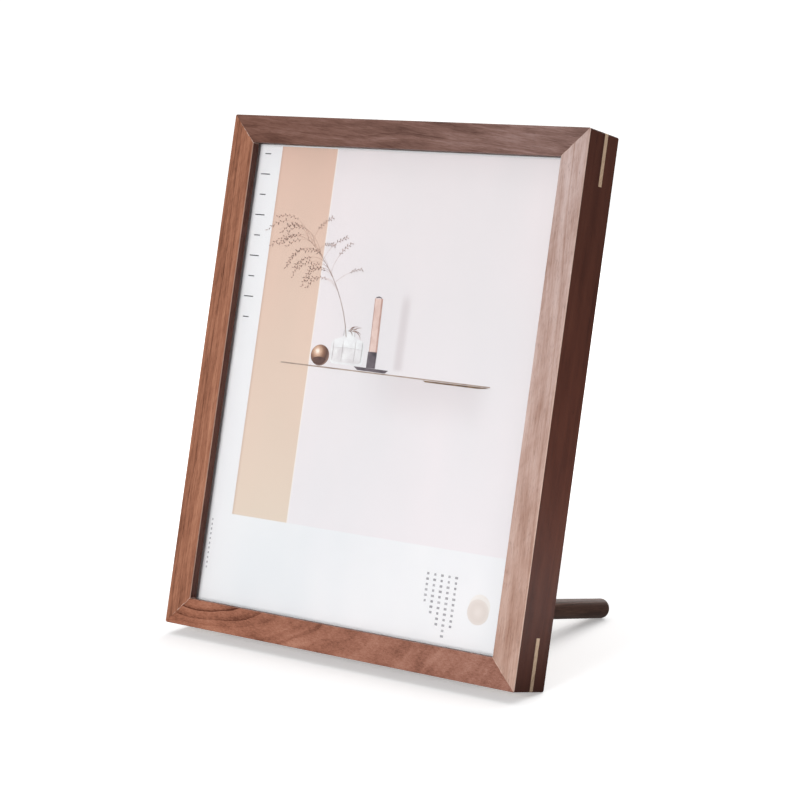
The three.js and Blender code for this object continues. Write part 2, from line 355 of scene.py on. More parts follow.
class Nodes:
    """One material's node tree. An input may be a number, a colour or another node's socket."""

    def __init__(self, name):
        self.material = bpy.data.materials.new(name)
        self.material.use_nodes = True
        self.tree = self.material.node_tree
        self.tree.nodes.clear()

    def feed(self, socket, value):
        if isinstance(value, bpy.types.NodeSocket):
            self.tree.links.new(value, socket)
        else:
            socket.default_value = value

    def node(self, kind, inputs=None, **settings):
        made = self.tree.nodes.new("ShaderNode" + kind)
        for key, value in settings.items():
            setattr(made, key, value)
        for key, value in (inputs or {}).items():
            self.feed(made.inputs[key], value)
        return made

    def math(self, operation, *values):
        made = self.node("Math", operation=operation)
        for socket, value in zip(made.inputs, values):
            self.feed(socket, value)
        return made.outputs[0]

    def times(self, *values):
        product = values[0]
        for value in values[1:]:
            product = self.math("MULTIPLY", product, value)
        return product

    def add(self, *terms):
        """The sum of (factor, value) terms."""
        total = None
        for factor, value in terms:
            scaled = self.math("MULTIPLY", value, factor)
            total = scaled if total is None else self.math("ADD", total, scaled)
        return total

    def between(self, value, start, end, low=0.0, high=1.0, smooth=True):
        """low before start, high after end, and a smooth step or a slope between."""
        made = self.node("MapRange", interpolation_type="SMOOTHSTEP" if smooth else "LINEAR")
        for socket, setting in zip(made.inputs, (value, start, end, low, high)):
            self.feed(socket, setting)
        return made.outputs[0]

    def points(self):
        return self.node("Attribute", attribute_name="grain").outputs["Vector"]

    def split(self, vector):
        return self.node("SeparateXYZ", {0: vector}).outputs

    def join(self, x, y, z):
        return self.node("CombineXYZ", {0: x, 1: y, 2: z}).outputs[0]

    def moved(self, vector, scale, offset=(0, 0, 0)):
        scaled = self.node("VectorMath", {0: vector, 1: scale}, operation="MULTIPLY").outputs[0]
        return self.node("VectorMath", {0: scaled, 1: offset}, operation="ADD").outputs[0]

    def noise(self, vector, detail=2.0, roughness=0.5, distortion=0.0):
        inputs = {"Vector": vector, "Scale": 1.0, "Detail": detail, "Roughness": roughness}
        return self.node("TexNoise", {**inputs, "Distortion": distortion}).outputs[0]

    def noise_along(self, value, detail=2.0, roughness=0.5):
        inputs = {"W": value, "Scale": 1.0, "Detail": detail, "Roughness": roughness}
        return self.node("TexNoise", inputs, noise_dimensions="1D").outputs[0]

    def blend(self, factor, first, second, mode="MIX"):
        """Two colours mixed. Sockets go by number, as each name occurs once for every data type."""
        made = self.node("Mix", data_type="RGBA", blend_type=mode)
        for socket, value in ((0, factor), (6, first), (7, second)):
            self.feed(made.inputs[socket], value)
        return made.outputs[2]

    def ramp(self, factor, stops):
        """A colour ramp through (position, colour) stops."""
        made = self.node("ValToRGB", {0: factor})
        elements = made.color_ramp.elements
        while len(elements) < len(stops):
            elements.new(0.5)
        for element, (position, colour) in zip(elements, stops):
            element.position = position
            element.color = colour
        return made.outputs[0]

    def bump(self, height, strength, distance):
        inputs = {"Strength": strength, "Distance": distance, "Height": height}
        return self.node("Bump", inputs).outputs[0]

    def surface(self, **inputs):
        """Ends the tree with a Principled shader; underscores in input names stand for spaces."""
        named = {key.replace("_", " "): value for key, value in inputs.items()}
        return self.finish(self.node("BsdfPrincipled", named).outputs[0])

    def finish(self, shader):
        output = self.node("OutputMaterial")
        self.tree.links.new(shader, output.inputs["Surface"])
        return self.material


def ring_radius(m, fibres, level_y, level_z, pith):
    """How far a point is from the pith line in mm, with a slow wander and a quicker waver."""
    wander = m.noise(m.moved(fibres, (0.012, 0.06, 0.06)), detail=1.0)
    waver = m.noise(m.moved(fibres, (0.05, 0.3, 0.3)))
    shift = m.add((5.0, m.math("SUBTRACT", wander, 0.5)), (0.7, m.math("SUBTRACT", waver, 0.5)))
    across = m.math("POWER", m.math("SUBTRACT", level_y, pith[0]), 2.0)
    inward = m.math("POWER", m.math("SUBTRACT", level_z, pith[1]), 2.0)
    return m.math("ADD", m.math("SQRT", m.math("ADD", across, inward)), shift)


def late_edges(m, radius, ring, reach, seed):
    """The dark late edge of each ring, fading over its reach from the pith and missing on some rings."""
    uneven = m.noise_along(m.math("MULTIPLY", radius, 0.3 / ring), detail=1.0)
    phase = m.add((1.0 / ring, radius), (1.6, uneven), (1.0, 0.37 * seed))
    near_pith = m.between(radius, 0.0, reach, 1.0, 0.0)
    chance = m.noise_along(m.add((0.45 / ring, radius), (1.0, 3.1 * seed)), detail=0.0)
    return m.times(m.math("POWER", m.math("FRACT", phase), 3.0), near_pith, m.between(chance, 0.42, 0.62))


def wood(name, dark, middle, light, pith, drift=(0.0, 0.0), ring=3.0, late=0.3, late_reach=400.0, band=0.4,
         cloud=0.5, figure=0.0, streak=0.6, pores=0.4, seed=0, roughness=0.5, member=None):
    """Planed and oiled wood, its fibres along the grain attribute's X.

    pith: where the line that the rings lie round crosses X = 0, as (Y, Z) in mm.
    drift: how far that line and the fibres drift in Y and Z for each mm of X.
    ring: the rings' spacing in mm.
    late, late_reach: the strength of the rings' dark edges, and how far from the pith they go in mm.
    band, cloud, figure, streak, pores: how strong the tone from ring to ring, the broad clouds, the cross
    figure, the fibres and the open pores are.
    member: on a member of the frame, the settings of member_finish.
    """
    m = Nodes(name)
    x, y, z = m.split(m.points())
    level_y = m.add((1.0, y), (-drift[0], x))
    level_z = m.add((1.0, z), (-drift[1], x))
    fibres = m.moved(m.join(x, level_y, level_z), (1, 1, 1), (97.0 * seed, 41.0 * seed, 23.0 * seed))
    radius = ring_radius(m, fibres, level_y, level_z, pith)
    bands = m.noise_along(m.add((0.8 / ring, radius), (1.0, 7.7 * seed)), detail=4.0, roughness=0.65)
    clouds = m.noise(m.moved(fibres, (0.02, 0.11, 0.11)), detail=3.0, roughness=0.6)
    fibre = m.noise(m.moved(fibres, (0.05, 1.5, 1.5)), detail=4.0, roughness=0.7)
    hair = m.noise(m.moved(fibres, (0.14, 5.0, 5.0)))
    slanted = m.join(m.add((0.5, x), (0.6, y), (0.5, z)), y, z)
    curl = m.noise(m.moved(slanted, (0.5, 0.06, 0.06)))
    tone = m.add(
        (cloud, clouds), (band, bands), (streak, fibre), (0.25, hair), (figure, curl),
        (-late, late_edges(m, radius, ring, late_reach, seed)),
        (1.0, 0.5 - 0.5 * (cloud + band + streak + 0.25 + figure)),
    )
    colour = m.ramp(tone, [(0.22, dark), (0.5, middle), (0.78, light)])
    pore = m.between(m.noise(m.moved(fibres, (0.3, 4.4, 4.4), (3.0, 5.0, 7.0)), detail=1.0), 0.6, 0.74)
    pore_shade = m.between(pore, 0.0, 1.0, 1.0, 1.0 - pores, smooth=False)
    colour = m.blend(1.0, colour, m.join(pore_shade, pore_shade, pore_shade), mode="MULTIPLY")
    if member:
        colour = member_finish(m, colour, x, y, z, seed, **member)
    relief = m.add((0.5, fibre), (-0.8, pore), (0.25, hair))
    return m.surface(
        Base_Color=colour,
        Roughness=m.add((0.16, fibre), (0.12, pore), (1.0, roughness - 0.08)),
        Specular_IOR_Level=0.2,
        Normal=m.bump(relief, 0.3, 0.1 * MM),
    )


def member_finish(m, colour, x, y, z, seed, half_length, joint, ends=(WHITE, WHITE), side=SIDE_TINT,
                  lip=SIDE_TINT, arris_highlight=0.1):
    """A member's tints and wear over its wood.

    half_length, joint: half the member's length in mm, and how pale the broken line along its mitres is.
    ends, side, lip: tints at its -X and +X ends, behind its front face and on the edge over the glazing.
    They hold some of the photo's light and shade, which stays in the wood in any other light.
    arris_highlight: how strongly a painted highlight lightens its front arrises.
    """
    end_tint = m.blend(m.between(x, -HALF_HEIGHT_MM, HALF_HEIGHT_MM, smooth=False), *ends)
    colour = m.blend(1.0, colour, end_tint, mode="MULTIPLY")
    behind_front = m.between(y, FRONT_MM + 0.4, FRONT_MM + 0.8)
    on_arris = m.math("SUBTRACT", m.between(y, FRONT_MM + 0.02, FRONT_MM + 0.14), behind_front)
    lip_or_side = m.blend(m.math("GREATER_THAN", z, FACE / MM - 0.3), side, lip)
    colour = m.blend(behind_front, colour, m.blend(1.0, colour, lip_or_side, mode="MULTIPLY"))
    # Painted highlight: the front arrises are lightened towards the pale colour.
    colour = m.blend(m.times(on_arris, arris_highlight), colour, PALE_JOINT_AND_HIGHLIGHT)
    to_mitre = m.add((-1.0, m.math("ABSOLUTE", x)), (-1.0, z), (1.0, half_length))
    broken = m.between(m.noise_along(m.add((0.5, z), (1.0, 9.3 * seed))), 0.38, 0.56)
    line = m.times(m.between(to_mitre, 0.2, 0.46, joint, 0.0), m.between(z, 3.0, 9.0), broken)
    return m.blend(line, colour, PALE_JOINT_AND_HIGHLIGHT)


def bottom_rail_walnut():
    # The end tints grade its tone along its length, partly as wood tone and partly as painted light and
    # shade.
    ends = ((1.12, 1.1, 1.0, 1.0), (0.9, 1.04, 1.2, 1.0))
    member = {"half_length": HALF_WIDTH_MM, "joint": 0.4, "ends": ends}
    return wood(
        "walnut_bottom_rail", srgb(78, 40, 28), srgb(151, 98, 79), srgb(184, 131, 110), pith=(3.0, 21.0),
        drift=(0.34, 0.0), ring=4.2, late=0.44, late_reach=40.0, band=0.32, cloud=0.45, figure=0.1,
        streak=0.5, pores=0.34, seed=1, member=member,
    )


def right_stile_walnut():
    # Its pale front colours are partly painted sheen, and its end tints are partly painted light and shade
    # along its length.
    ends = ((0.97, 0.92, 0.88, 1.0), (1.08, 1.22, 1.36, 1.0))
    # The very dark side tint is painted shade on the stile's outer side.
    side = (0.175, 0.064, 0.037, 1.0)
    member = {"half_length": HALF_HEIGHT_MM, "joint": 0.6, "ends": ends, "side": side, "arris_highlight": 0.55}
    return wood(
        "walnut_right_stile", srgb(132, 90, 70), srgb(181, 149, 136), srgb(208, 182, 172),
        pith=(70.0, 95.0), drift=(0.01, 0.02), ring=2.8, late=0.16, band=0.36, cloud=0.6, figure=0.1,
        streak=0.28, pores=0.34, seed=2, member=member,
    )


def top_rail_walnut():
    # The end tints grade its tone along its length, partly as wood tone and partly as painted light and
    # shade.
    ends = ((1.2, 1.38, 1.52, 1.0), (0.84, 0.7, 0.62, 1.0))
    member = {"half_length": HALF_WIDTH_MM, "joint": 0.3, "ends": ends}
    return wood(
        "walnut_top_rail", srgb(62, 36, 28), srgb(122, 90, 80), srgb(155, 125, 117), pith=(90.0, 60.0),
        drift=(0.04, -0.11), ring=1.5, late=0.16, band=0.3, cloud=0.6, streak=0.42, pores=0.26, seed=3,
        member=member,
    )


def left_stile_walnut():
    # The dark lip tint is painted shade on the inner wall over the glazing.
    member = {"half_length": HALF_HEIGHT_MM, "joint": 0.8, "lip": (0.32, 0.24, 0.24, 1.0), "arris_highlight": 0.4}
    return wood(
        "walnut_left_stile", srgb(76, 39, 27), srgb(156, 104, 81), srgb(194, 140, 112), pith=(40.0, -30.0),
        drift=(0.01, 0.008), ring=1.7, late=0.2, band=0.34, cloud=0.36, figure=0.1, streak=0.6, pores=0.38,
        seed=4, member=member,
    )


def key_maple():
    return wood(
        "maple_keys", srgb(174, 142, 114), srgb(208, 178, 150), srgb(224, 199, 173), pith=(60.0, 40.0),
        ring=1.3, late=0.16, cloud=0.4, pores=0.1, seed=5,
    )


def leg_walnut():
    return wood(
        "walnut_leg", srgb(48, 29, 21), srgb(86, 58, 47), srgb(122, 90, 76), pith=(40.0, 9.0),
        drift=(0.0, 0.01), ring=1.8, cloud=0.6, streak=0.7, pores=0.45, seed=6,
    )


def back_veneer():
    return wood(
        "walnut_back_veneer", srgb(84, 50, 36), srgb(138, 90, 66), srgb(170, 118, 90), pith=(-48.0, 12.0),
        drift=(0.12, 0.0), ring=5.5, late=0.36, cloud=0.3, figure=0.1, seed=7,
    )


def block_walnut():
    return wood(
        "walnut_block", srgb(88, 48, 34), srgb(150, 94, 66), srgb(186, 128, 94), pith=(40.0, 22.0),
        ring=2.4, seed=8, roughness=0.6,
    )


def spacer_pine():
    return wood(
        "pine_spacers", srgb(170, 128, 82), srgb(208, 174, 126), srgb(226, 200, 158), pith=(30.0, 26.0),
        ring=2.2, late=0.4, cloud=0.2, pores=0.1, seed=9, roughness=0.65,
    )


def clear_glazing():
    """Clear sheet: the print shows and is lit through it, with a soft reflection from its face."""
    m = Nodes("clear_glazing")
    at = m.points()
    smear = m.noise(m.moved(at, (0.02, 0.02, 0.008)), detail=3.0)
    tint = m.ramp(smear, [(0.3, srgb(253, 254, 254)), (0.7, srgb(255, 255, 255))])
    clear = m.node("BsdfTransparent", {"Color": tint}).outputs[0]
    gloss = m.node("BsdfGlossy", {"Roughness": m.between(smear, 0.3, 0.7, 0.03, 0.07)}).outputs[0]
    fresnel = m.node("Fresnel", {"IOR": 1.47}).outputs[0]
    from_inside = m.node("NewGeometry").outputs["Backfacing"]
    reflects = m.between(from_inside, 0.0, 1.0, fresnel, 0.0, smooth=False)
    return m.finish(m.node("MixShader", {0: reflects, 1: clear, 2: gloss}).outputs[0])


def printed_shadows(m, x, z):
    """How deep the soft shadows on the printed wall are: one beside the candle, one under the shelf."""
    candle_across = m.times(m.between(x, 8.0, 11.5), m.between(x, 17.0, 12.5))
    candle_up = m.times(m.between(z, 149.0, 152.0), m.between(z, 193.0, 184.0))
    shelf_down = m.times(m.between(z, 118.0, 146.5, 0.0, 0.35), m.math("LESS_THAN", z, 147.6))
    shelf_across = m.times(m.between(x, -20.0, 20.0), m.between(x, 76.0, 58.0))
    return m.math("MAXIMUM", m.times(candle_across, candle_up, 0.5), m.times(shelf_down, shelf_across))


def print_paper():
    """The printed sheet: white paper with a picture on it, a beige strip beside a pale wall."""
    m = Nodes("print_paper")
    at = m.points()
    x, _, z = m.split(at)
    mottle = m.noise(m.moved(at, (0.02, 0.02, 0.012)), detail=4.0)
    tooth = m.noise(m.moved(at, (3.0, 3.0, 3.0)))
    paper = m.ramp(mottle, [(0.35, srgb(238, 237, 240)), (0.65, srgb(241, 240, 242))])
    height = m.between(z, PICTURE_FOOT, SHADING_TOP, smooth=False)
    wall_tone = m.add((0.8, height), (0.2, mottle))
    wall = m.ramp(wall_tone, [(0.1, srgb(238, 232, 235)), (0.9, srgb(235, 227, 229))])
    strip_tone = m.add((0.85, height), (0.15, mottle))
    strip = m.ramp(strip_tone, [(0.05, srgb(230, 212, 196)), (0.95, srgb(226, 192, 176))])
    picture = m.blend(m.math("GREATER_THAN", x, STRIP_RIGHT), strip, wall)
    at_strip_edge = m.math("LESS_THAN", m.math("ABSOLUTE", m.math("SUBTRACT", x, STRIP_RIGHT)), 0.35)
    picture = m.blend(m.times(at_strip_edge, 0.6), picture, srgb(248, 242, 240))
    picture = m.blend(m.between(x, STRIP_LEFT + 2.0, STRIP_LEFT, 0.0, 0.35), picture, srgb(186, 150, 134))
    picture = m.blend(printed_shadows(m, x, z), picture, srgb(206, 194, 196))
    in_picture = m.times(
        m.math("GREATER_THAN", x, STRIP_LEFT),
        m.math("LESS_THAN", x, PICTURE_RIGHT),
        m.math("GREATER_THAN", z, PICTURE_FOOT),
        m.math("LESS_THAN", z, PICTURE_TOP),
    )
    return m.surface(
        Base_Color=m.blend(in_picture, paper, picture),
        Roughness=m.between(tooth, 0.2, 0.8, 0.5, 0.62),
        Normal=m.bump(tooth, 0.08, 0.02 * MM),
    )


def ink(name, dark, light, scale=0.2):
    """Printed ink whose tone wanders between two display colours."""
    m = Nodes(name)
    tone = m.noise(m.moved(m.points(), (scale, scale, scale)), detail=3.0)
    return m.surface(
        Base_Color=m.ramp(tone, [(0.3, srgb(*dark)), (0.7, srgb(*light))]),
        Roughness=m.between(tone, 0.2, 0.8, 0.5, 0.6),
    )


def shaded_ink(name, shades, centre, reach):
    """Ink shaded round a centre: shades are (position, display colour) stops over reach mm from it."""
    m = Nodes(name)
    at = m.points()
    flat = m.moved(at, (1, 0, 1))
    away = m.node("VectorMath", {0: flat, 1: (centre[0], 0, centre[1])}, operation="DISTANCE")
    grain = m.noise(m.moved(at, (1.2, 1.2, 1.2)))
    tone = m.add((1.0 / reach, away.outputs["Value"]), (0.12, grain), (1.0, -0.06))
    return m.surface(
        Base_Color=m.ramp(tone, [(position, srgb(*colour)) for position, colour in shades]),
        Roughness=m.between(grain, 0.2, 0.8, 0.5, 0.6),
    )


def grey_card():
    """Pressed grey card with long loose fibres and flecks."""
    m = Nodes("grey_card")
    at = m.points()
    fibres = m.noise(m.moved(at, (0.5, 2.0, 2.0)), detail=5.0, roughness=0.7, distortion=1.5)
    flecks = m.between(m.noise(m.moved(at, (1.8, 1.8, 1.8)), detail=1.0), 0.66, 0.72)
    colour = m.ramp(fibres, [(0.3, srgb(128, 122, 114)), (0.7, srgb(158, 153, 144))])
    return m.surface(
        Base_Color=m.blend(m.times(flecks, 0.5), colour, srgb(92, 84, 76)),
        Roughness=m.between(fibres, 0.3, 0.7, 0.8, 0.95),
        Normal=m.bump(fibres, 0.3, 0.05 * MM),
    )


def brushed_metal(name, dark, light, roughness):
    """Metal with fine scratches along X and dull handling marks."""
    m = Nodes(name)
    at = m.points()
    scratches = m.noise(m.moved(at, (0.4, 14.0, 14.0)), detail=4.0, roughness=0.7)
    marks = m.noise(m.moved(at, (0.5, 0.5, 0.5)), detail=3.0)
    tone = m.add((0.6, scratches), (0.4, marks))
    return m.surface(
        Base_Color=m.ramp(tone, [(0.3, dark), (0.7, light)]),
        Metallic=1.0,
        Roughness=m.add((1.0, roughness - 0.1), (0.14, marks), (0.1, scratches)),
        Normal=m.bump(scratches, 0.25, 0.02 * MM),
    )


# ---------------- the frame's members and keys


def member_section():
    """A member's section as (depth, inward) points: its outer face at 0, and the lip over the glazing."""
    return rounded_outline([
        (FRONT, 0, EASE),
        (0, 0, EASE),
        (0, WALL, EASE),
        (LIP_BACK, WALL, 0),
        (LIP_BACK, FACE, EASE / 2),
        (FRONT, FACE, EASE),
    ])


def mitred_bar(length):
    """One member along X. Its ends follow the mitre planes, and the frame's outer corners are rounded."""
    half = length / 2 - GLUE_LINE
    rings = []
    for end, steps in ((-1, reversed(range(CORNER_STEPS + 1))), (1, range(CORNER_STEPS + 1))):
        for step in steps:
            turn = math.pi / 4 * step / CORNER_STEPS
            ring = []
            for depth, inward in member_section():
                reach = CORNER_EASE - inward
                if reach > 0:
                    along = half - CORNER_EASE + reach * math.sin(turn)
                    inward = CORNER_EASE - reach * math.cos(turn)
                else:
                    along = half - inward - (CORNER_STEPS - step) * STATION_STEP
                ring.append(Vector((end * along, depth, inward)))
            rings.append(ring)
    return lofted(rings)


def key_slot(length, end):
    """The cutter for a corner key, at a bar's right (1) or left (-1) end."""
    corner = length / 2 + OVERSHOOT
    leg = KEY_LEG + KEY_CLEARANCE + 2 * OVERSHOOT
    outline = [
        (end * corner, -OVERSHOOT), (end * corner, leg - OVERSHOOT), (end * (corner - leg), -OVERSHOOT),
    ]
    return prism(outline, KEY_LOW.y - KEY_CLEARANCE, KEY_HIGH.y + KEY_CLEARANCE)


def pivot_of(place):
    """Where a turn button's screw enters the back, in the upright frame."""
    joint = next(j for j in frame["joints"] if j["child"] == f"{place}_button")
    return STAND.inverted() @ Vector(joint["pos_m"])


def member_places():
    """Each member's name, length, place in the upright frame and wood."""
    quarter = math.pi / 2
    rows = (
        ("bottom_rail", WIDTH, 0, (0, 0, 0), bottom_rail_walnut()),
        ("right_stile", HEIGHT, -quarter, (WIDTH / 2, 0, HEIGHT / 2), right_stile_walnut()),
        ("top_rail", WIDTH, 2 * quarter, (0, 0, HEIGHT), top_rail_walnut()),
        ("left_stile", HEIGHT, quarter, (-WIDTH / 2, 0, HEIGHT / 2), left_stile_walnut()),
    )
    for name, length, turn, place, material in rows:
        yield name, length, Matrix.Translation(place) @ Matrix.Rotation(turn, 4, "Y"), material


def make_members():
    pivots = [pivot_of(place) for place in BUTTON_PLACES]
    for name, length, place, material in member_places():
        cutters = [key_slot(length, 1), key_slot(length, -1)]
        for pivot in pivots:
            along = place.inverted() @ pivot
            if 0 < along.z < FACE and abs(along.x) < length / 2 - FACE:
                hole = cylinder_y(SCREW_HOLE_RADIUS, -SCREW_HOLE_DEPTH, OVERSHOOT, segments=24)
                hole.transform(Matrix.Translation((along.x, 0, along.z)))
                cutters.append(hole)
        bar = cut(mitred_bar(length), cutters)
        piece(name, bar, material, "frame", place, stands_for=[name])


def make_keys():
    """A key fills its slot from the corner and is trimmed flush with the pocket's walls inside."""
    material = key_maple()
    trimmed = KEY_LEG - WALL
    corners = [
        (0, 0, CORNER_EASE), (KEY_LEG, 0, 0), (trimmed, WALL, 0), (WALL, WALL, 0), (WALL, trimmed, 0),
        (0, KEY_LEG, 0),
    ]
    for vertical, rise, up in (("bottom", 0, 1), ("top", HEIGHT, -1)):
        for side, across, inward in (("left", -WIDTH / 2, 1), ("right", WIDTH / 2, -1)):
            outline = [(across + inward * p.x, rise + up * p.y) for p in rounded_outline(corners)]
            name = f"key_{vertical}_{side}"
            along_key = Matrix.Rotation(math.radians(45 * inward * up), 4, "Y")
            solid = prism(outline, KEY_LOW.y, KEY_HIGH.y)
            piece(name, solid, material, "frame", grain=along_key, stands_for=[name])


# ---------------- the print's drawing


def layer(outline, height):
    """An ink shape lying on the print: height 1 is on the paper, 2 on that, and outlines are in mm."""
    back = PRINT_LOW.y - (height - 0.5) * INK_STEP
    return prism([(x * MM, z * MM) for x, z in outline], back - 0.6 * INK_STEP, back)


def ellipse(x, z, across, up, points=40):
    angles = [2 * math.pi * k / points for k in range(points)]
    return [(x + across * math.cos(a), z + up * math.sin(a)) for a in angles]


def ribbon(line, widths):
    """The outline of a stroke along a line of points, with a width at each."""
    left, right = [], []
    for i, point in enumerate(line):
        ahead = line[min(i + 1, len(line) - 1)]
        behind = line[max(i - 1, 0)]
        run = Vector((ahead[0] - behind[0], ahead[1] - behind[1])).normalized()
        side = Vector((-run.y, run.x)) * widths[i] / 2
        left.append((point[0] + side.x, point[1] + side.y))
        right.append((point[0] - side.x, point[1] - side.y))
    return left + right[::-1]


def bent(start, angle, length, bend, steps=8):
    """Points along a stroke that starts at an angle and turns steadily by bend, both in degrees."""
    points = [start]
    for step in range(steps):
        heading = math.radians(angle + bend * (step + 0.5) / steps)
        x, z = points[-1]
        points.append((x + length / steps * math.cos(heading), z + length / steps * math.sin(heading)))
    return points


def bar(x, z, half_width, half_height):
    return [(x + a * half_width, z + b * half_height) for a, b in ((-1, -1), (1, -1), (1, 1), (-1, 1))]


def print_piece(name, parts, material):
    piece(name, merged(parts), material, "frame")


def make_shelf():
    plank = [(-65.0, 148.6), (71.0, 147.6), (71.0, 147.0), (-65.0, 147.9)]
    print_piece("print_shelf", [layer(plank, 1)], ink("ink_shelf", (150, 128, 116), (186, 166, 154)))
    edge = [(29.0, 147.0), (68.0, 146.9), (70.5, 146.6), (64.0, 146.0), (31.0, 146.2)]
    print_piece("print_shelf_edge", [layer(edge, 2)], ink("ink_edge", (88, 70, 60), (150, 124, 98)))


def make_ball():
    """A metal ball, lit from its upper left, with the dark shelf mirrored in its lower half."""
    x, z = -39.3, 154.2
    shades = [
        (0.06, (255, 244, 232)), (0.2, (222, 184, 160)), (0.42, (150, 112, 94)), (0.66, (98, 72, 66)),
        (0.95, (164, 134, 122)),
    ]
    metal = shaded_ink("ink_ball", shades, (x - 1.9, z + 2.0), 9.5)
    print_piece("print_ball", [layer(ellipse(x, z, 6.1, 5.6), 1)], metal)
    mirrored = [(a, min(b, z - 0.8 - 0.06 * (a - x) ** 2)) for a, b in ellipse(x, z - 0.2, 4.6, 4.9)]
    shade_ink = ink("ink_ball_shade", (74, 56, 58), (112, 86, 80))
    print_piece("print_ball_shade", [layer(mirrored, 2)], shade_ink)


def make_flask():
    """A clear flask half full of water, its facets shown by glints."""
    flask = rounded_outline([
        (-32.6, 150.6, 2.4), (-10.9, 150.6, 2.4), (-10.9, 163.0, 3.0), (-17.5, 165.2, 1.0),
        (-18.0, 169.6, 0.4), (-25.4, 169.6, 0.4), (-25.8, 165.2, 1.0), (-32.6, 163.0, 3.0),
    ])
    print_piece("print_flask", [layer(flask, 1)], ink("ink_flask", (231, 227, 229), (247, 246, 247)))
    water = rounded_outline([
        (-31.4, 151.6, 1.6), (-12.1, 151.6, 1.6), (-12.1, 159.2, 0.2), (-31.4, 159.2, 0.2),
    ])
    print_piece("print_water", [layer(water, 2)], ink("ink_water", (222, 215, 217), (244, 241, 242)))
    glints = []
    for x in (-31.2, -25.0, -16.8, -12.2):
        glints.append(ribbon([(x, 152.4), (x + 0.2, 158.0), (x, 163.2)], [0.3, 0.7, 0.2]))
    glints.append(ribbon([(-31.6, 159.2), (-21.8, 159.5), (-12.0, 159.2)], [0.1, 0.25, 0.1]))
    glints.append(ribbon([(-25.4, 165.6), (-25.2, 169.2)], [0.5, 0.3]))
    glints.append(ribbon([(-18.1, 165.6), (-18.2, 169.2)], [0.5, 0.3]))
    edges = ink("ink_flask_edges", (194, 186, 188), (222, 216, 217))
    print_piece("print_flask_edges", [layer(glint, 3) for glint in glints], edges)


def make_candle():
    dish = [(-16.0, 150.3), (6.6, 149.9), (4.4, 148.3), (-13.5, 148.6)]
    holder = [(-7.9, 150.2), (-2.2, 150.2), (-2.2, 158.8), (-7.9, 158.8)]
    dark_ink = ink("ink_holder", (78, 70, 76), (128, 116, 122))
    print_piece("print_holder", [layer(dish, 2), layer(holder, 3)], dark_ink)
    candle = [(-7.4, 158.8), (-2.2, 158.8), (-3.0, 187.0), (-8.1, 187.0)]
    print_piece("print_candle", [layer(candle, 2)], ink("ink_candle", (222, 188, 178), (240, 214, 206)))
    shaded_side = [(-3.2, 158.8), (-2.2, 158.8), (-3.0, 187.0), (-4.0, 187.0)]
    lit_side = [(-7.4, 158.8), (-7.0, 158.8), (-7.7, 187.0), (-8.1, 187.0)]
    side_ink = ink("ink_candle_sides", (192, 152, 142), (210, 172, 162))
    print_piece("print_candle_sides", [layer(shaded_side, 3), layer(lit_side, 3)], side_ink)
    wick = ribbon([(-7.4, 187.3), (-5.6, 187.7), (-3.8, 187.3)], [0.5, 0.8, 0.4])
    print_piece("print_wick", [layer(wick, 3)], dark_ink)


def husks(dice, twig):
    """Seed husks along the outer half of a twig, to its left and right in turn."""
    outlines = []
    for i in range(dice.randrange(9, 14), len(twig)):
        side = 1 if i % 2 else -1
        run = math.degrees(math.atan2(twig[i][1] - twig[i - 1][1], twig[i][0] - twig[i - 1][0]))
        husk = bent(twig[i], run + side * dice.uniform(25, 70), dice.uniform(0.9, 1.8), 0.0, steps=3)
        outlines.append(ribbon(husk, [0.12, 0.36, 0.36, 0.12]))
    return outlines


def make_dry_grass():
    """Dry grass: a stem with fine drooping branches in seed, and short blades at the flask's mouth."""
    dice = random.Random(8)
    stem = bent((-21.6, 153.0), 95.0, 74.0, 50.0, steps=24)
    above_water = stem[4:]
    stalk = ribbon(above_water, [0.4 - 0.014 * i for i in range(len(above_water))])
    twigs = []
    seeds = []
    branches = 26
    for branch in range(branches):
        along = branch / (branches - 1)
        root = stem[12 + round(12 * along ** 0.8)]
        if branch % 5 == 2:
            twig = bent(root, dice.uniform(40, 80), dice.uniform(12, 22), dice.uniform(-70, -20), steps=20)
        else:
            heading = dice.uniform(115, 155) - 20 * along
            twig = bent(root, heading, dice.uniform(17, 26) + 10 * along, dice.uniform(80, 140), steps=20)
        twigs.append(ribbon(twig, [0.08] * len(twig)))
        seeds.extend(husks(dice, twig))
    for _ in range(7):
        mouth = (dice.uniform(-23.0, -18.5), 168.4)
        blade = bent(mouth, dice.uniform(10, 75), dice.uniform(4, 8), dice.uniform(-110, -50), steps=6)
        seeds.append(ribbon(blade, [0.15, 0.3, 0.35, 0.35, 0.3, 0.2, 0.1]))
    print_piece("print_grass", [layer(stalk, 3)], ink("ink_grass", (150, 126, 118), (184, 162, 154)))
    twig_ink = ink("ink_twigs", (176, 142, 128), (204, 172, 158))
    print_piece("print_twigs", [layer(twig, 3) for twig in twigs], twig_ink)
    seed_ink = ink("ink_seeds", (100, 76, 70), (182, 150, 140), scale=0.35)
    print_piece("print_seeds", [layer(seed, 4) for seed in seeds], seed_ink)


